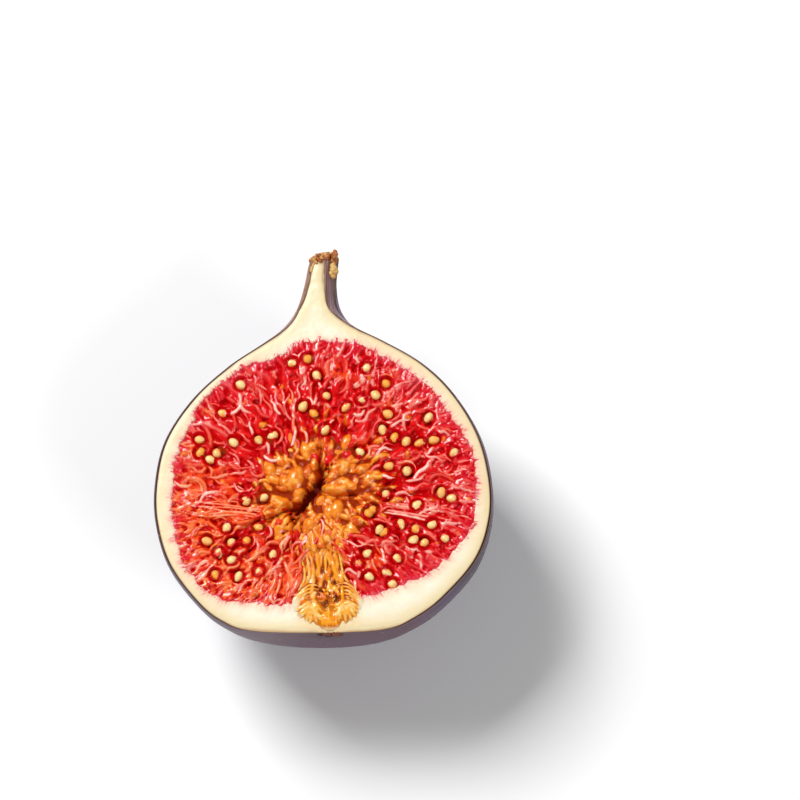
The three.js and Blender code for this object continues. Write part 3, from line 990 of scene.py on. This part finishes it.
def pulp_deep(x, y):
    """How far the pulp lies open, at the slit, its cracks and the throat."""
    return opening(x, y) + 0.8 * smooth(1.05, 0.75, across_throat(x, y)) * smooth(-7.5, -10.5, y)


pulp.shape(pulp_deep, size_in_pulp)


class WetTissue(Finish):
    """Wet translucent tissue with a clear gloss."""

    def __init__(self, name, **constants):
        shared = dict(
            Subsurface_Weight=0.45,
            Subsurface_Radius=(1.0, 0.2, 0.1),
            Subsurface_Scale=0.001,
            IOR=1.12,
            Coat_Weight=0.9,
            Coat_Roughness=0.08,
            Coat_IOR=1.45,
        )
        super().__init__(name, **{**shared, **constants})


tissue = WetTissue("fig_pulp")
tint = tissue.attribute("tint")
crest = tissue.attribute("crest")
size = tissue.attribute("size") + (tissue.cloud(3.2) - 0.5) * 0.1
clouds = tissue.cloud(0.8)
patches = tissue.cloud(4.0)
x, y, _ = tissue.on_cut()
variety = tint * 0.6 + clouds * 0.4
tissue.colour = tissue.mix(variety.step(0.2, 0.75), "d00208", "e60e10")
tissue.coat(size.step(0.8, 1.0) * 0.7, "dc1230")
warm = (patches + (x + y).step(0.0, -18.0) * 0.18).step(0.54, 0.7)
tissue.coat(warm * size.step(1.0, 0.85) * 0.8, "ee4610")
orange_grain = (x + y).step(-11.0, -22.0) * clouds.step(0.5, 0.6)
tissue.coat(orange_grain * 0.75, "f6782a")
pale_colour = tissue.mix(tint.step(0.2, 0.9), "f8705c", "ffdac8")
pale_colour = tissue.mix(warm * 0.7, pale_colour, "f99448")
tissue.coat(tissue.attribute("pale") * (crest + (clouds - 0.5) * 0.7).step(0.4, 1.0), pale_colour)
gold = tissue.mix(variety.step(0.2, 0.7), "d84e08", "f2881a")
gold = tissue.mix(y.step(-4.0, -8.0) * size.step(0.6, 0.4) * 0.6, gold, "f8a42c")
# Painted highlight: pale yellow on the tops of the amber lobes.
gold = tissue.mix((crest * 0.6 + clouds).step(0.98, 1.24) * 0.8, gold, "ffc868")
# Painted shade: darker red-brown down the sides of the amber lobes and between them.
gold = tissue.mix((crest + clouds - 0.5).step(0.75, 0.25), gold, "bc4804")
amber = (tissue.attribute("amber") + (clouds - 0.5) * 0.3).step(0.3, 0.8)
tissue.coat(amber, gold)
# Painted shade: deeper red, red-brown among the amber, down the sides of the florets and in the valleys
# between them.
shade = tissue.mix(amber, "be0004", "982804")
tissue.coat(crest.step(0.65, -0.2) * 0.95, shade)
# Painted shade: darkest red where the crest falls lowest, in the grooves round the seeds and in the gaps
# between florets.
tissue.coat(crest.step(-0.45, -1.0) * 0.5, "780006")
tissue.coat(size.step(0.97, 1.03) * 0.6, "ee6076")
# Painted shade: dark red-brown deeper down in the slit and the cracks.
tissue.coat(tissue.attribute("deep").step(0.5, 2.2), "962408")
tissue.feed("Coat Weight", 0.1 + crest.step(0.1, 0.6) * 0.8)
tissue.wear(0.16 + tissue.cloud(0.9) * 0.16, (tissue.cloud(0.45), 0.06), (tissue.cloud(0.18), 0.02))
finished_piece("pulp_body", pulp.bm, tissue, "pulp", "pulp")

# ---- Seeds ----
# Small hard golden grains, each set in the tip of a floret and wet with its juice.
SEED_HALF_WIDTH = 0.74


def grain(width):
    """The half width of a seed, fuller towards its tip."""
    return lambda share: width * math.sin(math.pi * share**0.85) ** 0.62


bm = new_growth()
dice = Dice(777)
for spot in seed_places():
    heading = dice(0, math.tau)
    length = dice(1.6, 2.0)
    start = spot - towards(heading) * length / 2
    level = dice(-0.08, 0.16)
    middle = wandering(start, heading, length, [0, 0, 0], [level, level, level])
    width = SEED_HALF_WIDTH * dice(0.85, 1.08)
    grow_limb(bm, middle, grain(width), dice(), 0.1, flat=0.9, sides=12, rings=10)

seed = WetTissue(
    "seed",
    Subsurface_Weight=0.3,
    Subsurface_Radius=(1.0, 0.5, 0.25),
    Subsurface_Scale=0.0006,
    Coat_Weight=1.0,
)
tint = seed.attribute("tint")
crest = seed.attribute("crest")
seed.colour = seed.mix(tint.step(0.1, 0.7), "ffae44", "ffdc98")
seed.coat(seed.cloud(1.6).step(0.48, 0.7) * 0.6, "ff9a30")
# Painted shade: orange down each seed's sides, and dark red at its foot where it sinks into the pulp,
# drawing a dark outline.
seed.coat(crest.step(0.92, 0.4) * 0.85, "f08018")
seed.coat(crest.step(0.1, -0.3), "a80c06")
seed.wear(0.18 + seed.cloud(0.5) * 0.15, (seed.cloud(0.3), 0.03))
finished_piece("seeds", bm, seed, "seed", "pulp")

# ---- Eye ----
# The fruit's mouth is plugged by rows of small soft scales. Cut through, they show as two shells of pale
# fingers at the skin, and as a bundle of golden fibres that runs up the throat to the hollow.
EYE_SIDES = 120
EYE_RINGS = 200
SHELLS = ((-1, -1.7, -16.2), (1, 3.0, -16.0))  # the side it lies on, and where its fingers meet
EYE_START = -20.95
EYE_LENGTH = 18.2


def finger(share):
    """The half width of a pale finger: broad almost from its root to its tip."""
    return 0.44 * min(1.0, 4 * share + 0.4) * (1.01 - share**3) ** 0.5


eye_body = WetBody(EYE_SIDES, EYE_RINGS, 0.15)
for vert in eye_body.bm.verts:
    ring, turn = ring_and_turn(vert.co)
    y = EYE_START + EYE_LENGTH * ring
    middle, half_width = throat_at(y)
    half_width *= 1.04 * min(1.0, 8 * ring, 8 * (1 - ring)) ** 0.5
    across, rise = math.cos(turn * math.tau), math.sin(turn * math.tau)
    x = middle + half_width * across
    in_fan = smooth(-14.0, -16.5, y)
    level = -1.05 + 0.88 * in_fan - 1.2 * smooth(-9.5, -6.0, y)
    level -= 0.35 * hollowed(x, y, -17.2, 1.8, 1.6)
    if rise >= 0:
        eye_body.add_spot(vert, x, y, level + 0.25 * rise**0.5, crest=0.5 * in_fan - 0.3, pale=in_fan)
    else:
        vert.co = in_place(x, y, level + 2.2 * rise)

TONGUE_COUNT = 90  # golden, with their tips up the throat
dice = Dice(1066)
for k in range(TONGUE_COUNT):
    row, place = divmod(k, 6)
    y = -16.0 + 0.84 * row + dice(-0.7, 0.7)
    middle_x, half_throat = throat_at(y)
    x = middle_x + 0.85 * half_throat * ((place + 0.5) / 3 - 1) + dice(-0.4, 0.4)
    lean = 0.1 + 0.16 * (x - middle_x) / half_throat * (-1 if y > -11 else -2)
    length = dice(2.4, 5.4)
    level = dice(-0.8, -0.35) - 1.0 * smooth(-9.5, -6.0, y) + 0.5 * smooth(-14.0, -16.0, y)
    sway = dice(-0.35, 0.35)
    middle = laid(
        (x - lean * length / 2, y - length / 2, level - 0.2),
        (x + sway, y - length / 6, level),
        (x - sway * 0.6, y + length / 5, level),
        (x + lean * length / 2, min(y + length / 2, -2.8), level - 0.3),
    )
    pale = 0.9 * dice() ** 4
    eye_body.lay(middle, sac(dice(0.28, 0.52)), dice(), pale=pale, uneven=0.5)
SHORT_SCALE_COUNT = 44  # amber, crowded round the middle of the shells
for k in range(SHORT_SCALE_COUNT):
    way = k * GOLDEN_ANGLE
    reach = 0.4 + 2.6 * (k / SHORT_SCALE_COUNT) ** 0.5
    x, y = 0.7 + 1.35 * reach * math.cos(way), -16.9 + 0.8 * reach * math.sin(way)
    half = Vector((math.cos(way) + dice(-0.5, 0.5), math.sin(way) - 0.3)) * dice(0.3, 0.8)
    level = dice(-0.2, 0.05)
    root, tip = (x - half.x, y - half.y, level - 0.3), (x + half.x, y + half.y, level - 0.1)
    eye_body.lay(laid(root, (x, y, level), tip), sac(dice(0.24, 0.42)), dice(), pale=dice() ** 3)
for side in (-1, 1):  # pale strands along the throat's walls, flaring round the shells
    for k in range(3):
        inward = 0.6 * k
        middle = laid(
            (-0.9 + side * (2.8 - inward), -5.6 - 0.6 * k, -1.9),
            (-0.8 + side * (3.0 - inward) + dice(-0.2, 0.2), -7.8, -0.8),
            (-0.4 + side * (2.8 - inward) + dice(-0.2, 0.2), -9.8, -0.4),
            (0.0 + side * (3.0 - inward) + dice(-0.2, 0.2), -12.4, -0.4),
            (0.4 + side * (4.4 - inward), -14.8, -0.4),
            (0.6 + side * (5.2 - inward), -17.0 + 0.4 * k, -0.5),
        )
        eye_body.lay(middle, thread(dice(0.26, 0.4)), dice(0.2, 1), pale=0.9)
for side, shell_x, shell_y in SHELLS:
    for k in range(-1, 7):
        way = towards(math.radians(270 + side * (-24 + 14 * k + dice(-3, 3))))
        start = Vector((shell_x, shell_y))
        reach = 4.2 - 0.16 * abs(k - 2) - 1.4 * (k < 0)
        points = [start + way * length for length in (0.2, 0.36 * reach, 0.7 * reach, reach)]
        middle = laid(*[(*point, level) for point, level in zip(points, (-0.3, -0.05, -0.05, -0.3))])
        eye_body.lay(middle, finger, dice(0.4, 1), pale=1.0, flat=0.8)
    for k in range(4):  # amber scales that curl outwards over the fingers
        lift = 0.62 * k
        middle = laid(
            (shell_x - side * 1.6, shell_y + 0.3 + lift, -0.4),
            (shell_x + side * 0.2, shell_y + 0.8 + lift * 0.9, -0.05),
            (shell_x + side * 1.5, shell_y + 0.2 + lift * 0.8, 0.0),
            (shell_x + side * (2.5 + 0.15 * k), shell_y - 1.0 + lift * 0.6, -0.1),
            (shell_x + side * (2.8 + 0.15 * k), shell_y - 2.2 + lift * 0.4, -0.4),
        )
        pale = (0.0, 0.9, 0.2, 0.7)[k]
        eye_body.lay(middle, thread(dice(0.26, 0.36)), dice(0.2, 0.8), pale=pale)
for k in range(5):  # amber scales between the shells, down to the skin
    x = 0.9 + 0.5 * (k - 2)
    end = -20.6 + 0.12 * abs(k - 2) + dice(-0.1, 0.3)
    middle = laid((0.8, -17.6, -0.3), (x - 0.05, -18.6, 0.0), (x, -19.7, 0.0), (x + 0.05, end, -0.4))
    eye_body.lay(middle, thread(0.42), dice(0.3, 0.9), uneven=0.5)
eye_body.shape(lambda x, y: 0.0, lambda x, y: 0.5)

eye = WetTissue(
    "eye_scales",
    Subsurface_Weight=0.5,
    Subsurface_Radius=(1.0, 0.45, 0.12),
    Subsurface_Scale=0.0012,
    Coat_Weight=0.7,
)
x, y, z = eye.on_cut()
tint = eye.attribute("tint")
crest = eye.attribute("crest")
clouds = eye.cloud(0.8)
variety = tint * 0.6 + clouds * 0.4
eye.colour = eye.mix(variety.step(0.15, 0.6), "e26004", "f89410")
# Painted highlight: yellow on the tops of the golden tongues.
eye.coat((crest * 0.5 + variety).step(0.85, 1.3) * 0.6, "ffc440")
pale = eye.mix(clouds.step(0.4, 0.65), "f6b040", "fbd68c")
eye.coat(eye.attribute("pale") * crest.step(0.1, 0.9), pale)
eye.coat(y.step(-11.0, -7.5) * 0.6, "ea7c14")
in_fan = y.step(-15.0, -17.0)
# Painted shade down the sides of the scales and between them: red-brown up the throat. In the fan it is
# partly painted shade and partly the ochre of the lines between the fingers.
shade = eye.mix(in_fan, "9c2804", "ce7410")
eye.coat(crest.step(0.85, 0.3) * 0.9, shade)
# Painted shade: dark red-brown where the scales lie deep, above the shells.
eye.coat(z.step(-0.75, -1.3) * y.step(-17.0, -15.5), "7a1a05")
outer = distance_of((x - 0.7) / 5.2, (y + 17.4) / 3.4)
eye.coat(in_fan * (outer + clouds * 0.2).step(0.9, 1.12), "f9e8c8")
eye.coat(y.step(-20.1, -20.8) * 0.6, "d08c3a")
eye.wear(0.2 + eye.cloud(0.7) * 0.2, (eye.cloud(0.5), 0.08), (eye.cloud(0.18), 0.02))
finished_piece("eye_scales", eye_body.bm, eye, "eye", "eye")

# Brown specks, old flowers, lie where the shells meet and between the fibres.
SPECKS = [
    (0.2, -16.5, 0.4), (1.8, -16.0, 0.3), (-0.3, -14.8, 0.2), (-0.2, -11.6, 0.16), (1.5, -13.3, 0.16),
]
bm = new_growth()
for x, y, width in SPECKS:
    for _ in range(4):
        here = Vector((x + dice(-0.4, 0.4), y + dice(-0.4, 0.4), 0.4 * width))
        half = Vector((dice(-0.3, 0.3), dice(-0.5, 0.5), 0.05))
        grow_lump(bm, here, half, width * dice(0.5, 1), 0.5, 0.6, flat=0.6)
speck = WetTissue("eye_speck", Coat_Weight=0.4)
speck.colour = speck.mix(speck.cloud(0.5).step(0.4, 0.65), "6a1e06", "a84c0e")
speck.wear(0.3 + speck.cloud(0.4) * 0.3, (speck.cloud(0.25), 0.06))
finished_piece("eye_specks", bm, speck, "eye", "eye")

# Outside, the last rows of scales close the mouth in a small rosette under the cut.
MOUTH_Y = -20.85
ROSETTE = [(9, 2.3, 0.1), (7, 1.4, 0.22), (5, 0.6, 0.3)]  # scales in a row, its radius, how far it drops

bm = new_growth()
for count, radius, drop in ROSETTE:
    for k in range(count):
        angle = math.pi * (k + 0.5 + dice(-0.15, 0.15)) / count
        points = []
        for share, y in ((1.0, 0.35), (0.7, -drop), (0.25, -0.7 * drop)):
            across, down = share * radius * math.cos(angle), share * radius * math.sin(angle)
            points.append((1.1 + across, MOUTH_Y + y, -0.3 - down))
        grow_limb(bm, laid(*points), lump(dice(0.4, 0.6)), dice(), flat=0.6, rings=9)
mouth = Finish("mouth_scale", IOR=1.45)
crumbs = mouth.cloud(0.6, detail=4.0)
tint = mouth.attribute("tint")
mouth.colour = mouth.mix((tint + crumbs * 0.4).step(0.3, 1.0), "543036", "8c5036")
mouth.coat(crumbs.step(0.45, 0.25) * 0.7, "341a22")
mouth.wear(0.5 + mouth.cloud(0.7) * 0.3, (crumbs, 0.1), (mouth.cloud(0.2), 0.03))
finished_piece("mouth_scales", bm, mouth, "eye", "eye")

# ---- Table, light and camera ----
# A white table under one large soft light from the stem's side, with weaker fill from the other side.
# The camera looks down on the cut face from a little beyond the eye, from far away.
bm = bmesh.new()
bmesh.ops.create_grid(bm, x_segments=1, y_segments=1, size=3.0)
white = Finish("table_white", Base_Color=(0.96, 0.96, 0.965, 1.0), Roughness=0.6, IOR=1.3)
table = coated("table", bm, white)


LIT_POINT = Vector((0, 0, 0.015))


def soft_light(name, place, size, power):
    """A square light at a place in metres that faces the fruit."""
    light = bpy.data.lights.new(name, "AREA")
    light.shape = "SQUARE"
    light.size = size
    light.energy = power
    lamp = in_scene(name, light)
    lamp.location = place
    lamp.rotation_euler = (LIT_POINT - Vector(place)).to_track_quat("-Z", "Y").to_euler()


soft_light("window", (-0.38, 0.42, 0.75), 0.36, 8.4)
soft_light("fill", (0.6, -0.5, 0.6), 0.4, 3.2)

world = bpy.data.worlds.new("studio")
world.use_nodes = True
sky = world.node_tree.nodes["Background"]
sky.inputs["Color"].default_value = (1.0, 1.0, 1.0, 1.0)
sky.inputs["Strength"].default_value = 0.19
bpy.context.scene.world = world
bpy.context.scene.view_settings.view_transform = "Standard"

LENS = 200.0
SENSOR = 36.0
SEEN_WIDTH = 122.8  # millimetres of the cut face's plane across the picture
LOOKED_AT = in_place(11.6, 15.15, 0.0)
TILT_TO_EYE = math.radians(16.0)
TILT_TO_RIGHT = math.radians(4.0)
back = Vector((math.sin(TILT_TO_RIGHT), -math.sin(TILT_TO_EYE), 1.0)).normalized()
up = (Vector((0, 1, 0)) - back * back.y).normalized()
right = up.cross(back)
camera_data = bpy.data.cameras.new("camera")
camera_data.lens = LENS
camera_data.sensor_width = SENSOR
camera_data.clip_start = 0.01
camera_data.clip_end = 20.0
camera = in_scene("camera", camera_data)
away = SEEN_WIDTH * MM * LENS / SENSOR
facing = Matrix((right, up, back)).transposed().to_4x4()
camera.matrix_world = Matrix.Translation(LOOKED_AT + back * away) @ facing
bpy.context.scene.camera = camera
